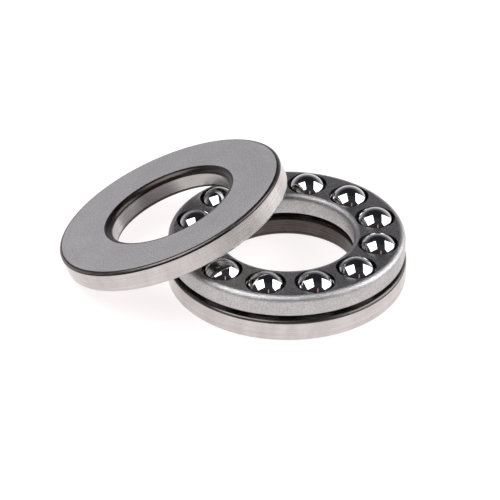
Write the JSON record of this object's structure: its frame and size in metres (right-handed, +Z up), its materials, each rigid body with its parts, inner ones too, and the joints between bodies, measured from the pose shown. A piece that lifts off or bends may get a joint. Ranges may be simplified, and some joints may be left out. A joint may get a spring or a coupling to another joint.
{
  "type": "thrust ball bearing",
  "caption": "Single-direction thrust ball bearing shown taken apart: flat housing washer, pressed steel ball cage with its balls in the raceway, and the shaft washer leaning on them.",
  "frame": {"origin": "on the ground, under the middle of the whole layout's box", "axes": "+Z up along the axis of the housing washer, +X from the leaning shaft washer towards the cage, +Y away from the viewer"},
  "size_m": [0.0682, 0.0516, 0.022],
  "materials": {
    "ground_steel": "fine ground bearing steel with smooth rounded corners",
    "cage_steel": "satin pressed sheet steel",
    "ball_steel": "mirror polished chrome steel"
  },
  "bodies": {
    "housing": {"housing_washer": "ground_steel"},
    "shaft": {"shaft_washer": "ground_steel"},
    "cage": {"ball_cage": "cage_steel"},
    "ball_01": {"ball_01": "ball_steel"},
    "ball_02": {"ball_02": "ball_steel"},
    "ball_03": {"ball_03": "ball_steel"},
    "ball_04": {"ball_04": "ball_steel"},
    "ball_05": {"ball_05": "ball_steel"},
    "ball_06": {"ball_06": "ball_steel"},
    "ball_07": {"ball_07": "ball_steel"},
    "ball_08": {"ball_08": "ball_steel"},
    "ball_09": {"ball_09": "ball_steel"},
    "ball_10": {"ball_10": "ball_steel"},
    "ball_11": {"ball_11": "ball_steel"},
    "ball_12": {"ball_12": "ball_steel"}
  },
  "joints": [
    {"name": "shaft_washer_spin", "type": "hinge", "parent": "housing", "child": "shaft", "pos_m": [-0.01258, 0.00248, 0.01307], "axis": [-0.378, 0.0852, 0.9219], "continuous": true},
    {"name": "cage_spin", "type": "hinge", "parent": "housing", "child": "cage", "pos_m": [0.01062, -0.00232, 0.0075], "axis": [0, 0, 1], "continuous": true},
    {"name": "ball_01_roll", "type": "hinge", "parent": "cage", "child": "ball_01", "pos_m": [0.02807, 0.00285, 0.0075], "axis": [0.9588, 0.284, 0], "continuous": true},
    {"name": "ball_02_roll", "type": "hinge", "parent": "cage", "child": "ball_02", "pos_m": [0.02315, 0.01088, 0.0075], "axis": [0.6884, 0.7254, 0], "continuous": true},
    {"name": "ball_03_roll", "type": "hinge", "parent": "cage", "child": "ball_03", "pos_m": [0.01487, 0.01537, 0.0075], "axis": [0.2334, 0.9724, 0], "continuous": true},
    {"name": "ball_04_roll", "type": "hinge", "parent": "cage", "child": "ball_04", "pos_m": [0.00545, 0.01513, 0.0075], "axis": [-0.284, 0.9588, 0], "continuous": true},
    {"name": "ball_05_roll", "type": "hinge", "parent": "cage", "child": "ball_05", "pos_m": [-0.00258, 0.0102, 0.0075], "axis": [-0.7254, 0.6884, 0], "continuous": true},
    {"name": "ball_06_roll", "type": "hinge", "parent": "cage", "child": "ball_06", "pos_m": [-0.00708, 0.00192, 0.0075], "axis": [-0.9724, 0.2334, 0], "continuous": true},
    {"name": "ball_07_roll", "type": "hinge", "parent": "cage", "child": "ball_07", "pos_m": [-0.00683, -0.00749, 0.0075], "axis": [-0.9588, -0.284, 0], "continuous": true},
    {"name": "ball_08_roll", "type": "hinge", "parent": "cage", "child": "ball_08", "pos_m": [-0.00191, -0.01553, 0.0075], "axis": [-0.6884, -0.7254, 0], "continuous": true},
    {"name": "ball_09_roll", "type": "hinge", "parent": "cage", "child": "ball_09", "pos_m": [0.00637, -0.02002, 0.0075], "axis": [-0.2334, -0.9724, 0], "continuous": true},
    {"name": "ball_10_roll", "type": "hinge", "parent": "cage", "child": "ball_10", "pos_m": [0.01579, -0.01977, 0.0075], "axis": [0.284, -0.9588, 0], "continuous": true},
    {"name": "ball_11_roll", "type": "hinge", "parent": "cage", "child": "ball_11", "pos_m": [0.02382, -0.01485, 0.0075], "axis": [0.7254, -0.6884, 0], "continuous": true},
    {"name": "ball_12_roll", "type": "hinge", "parent": "cage", "child": "ball_12", "pos_m": [0.02832, -0.00657, 0.0075], "axis": [0.9724, -0.2334, 0], "continuous": true}
  ],
  "couplings": [
    {"joint": "cage_spin", "follows": "shaft_washer_spin", "ratio": 0.5},
    {"joint": "ball_01_roll", "follows": "shaft_washer_spin", "ratio": -2.2928},
    {"joint": "ball_02_roll", "follows": "shaft_washer_spin", "ratio": -2.2928},
    {"joint": "ball_03_roll", "follows": "shaft_washer_spin", "ratio": -2.2928},
    {"joint": "ball_04_roll", "follows": "shaft_washer_spin", "ratio": -2.2928},
    {"joint": "ball_05_roll", "follows": "shaft_washer_spin", "ratio": -2.2928},
    {"joint": "ball_06_roll", "follows": "shaft_washer_spin", "ratio": -2.2928},
    {"joint": "ball_07_roll", "follows": "shaft_washer_spin", "ratio": -2.2928},
    {"joint": "ball_08_roll", "follows": "shaft_washer_spin", "ratio": -2.2928},
    {"joint": "ball_09_roll", "follows": "shaft_washer_spin", "ratio": -2.2928},
    {"joint": "ball_10_roll", "follows": "shaft_washer_spin", "ratio": -2.2928},
    {"joint": "ball_11_roll", "follows": "shaft_washer_spin", "ratio": -2.2928},
    {"joint": "ball_12_roll", "follows": "shaft_washer_spin", "ratio": -2.2928}
  ]
}
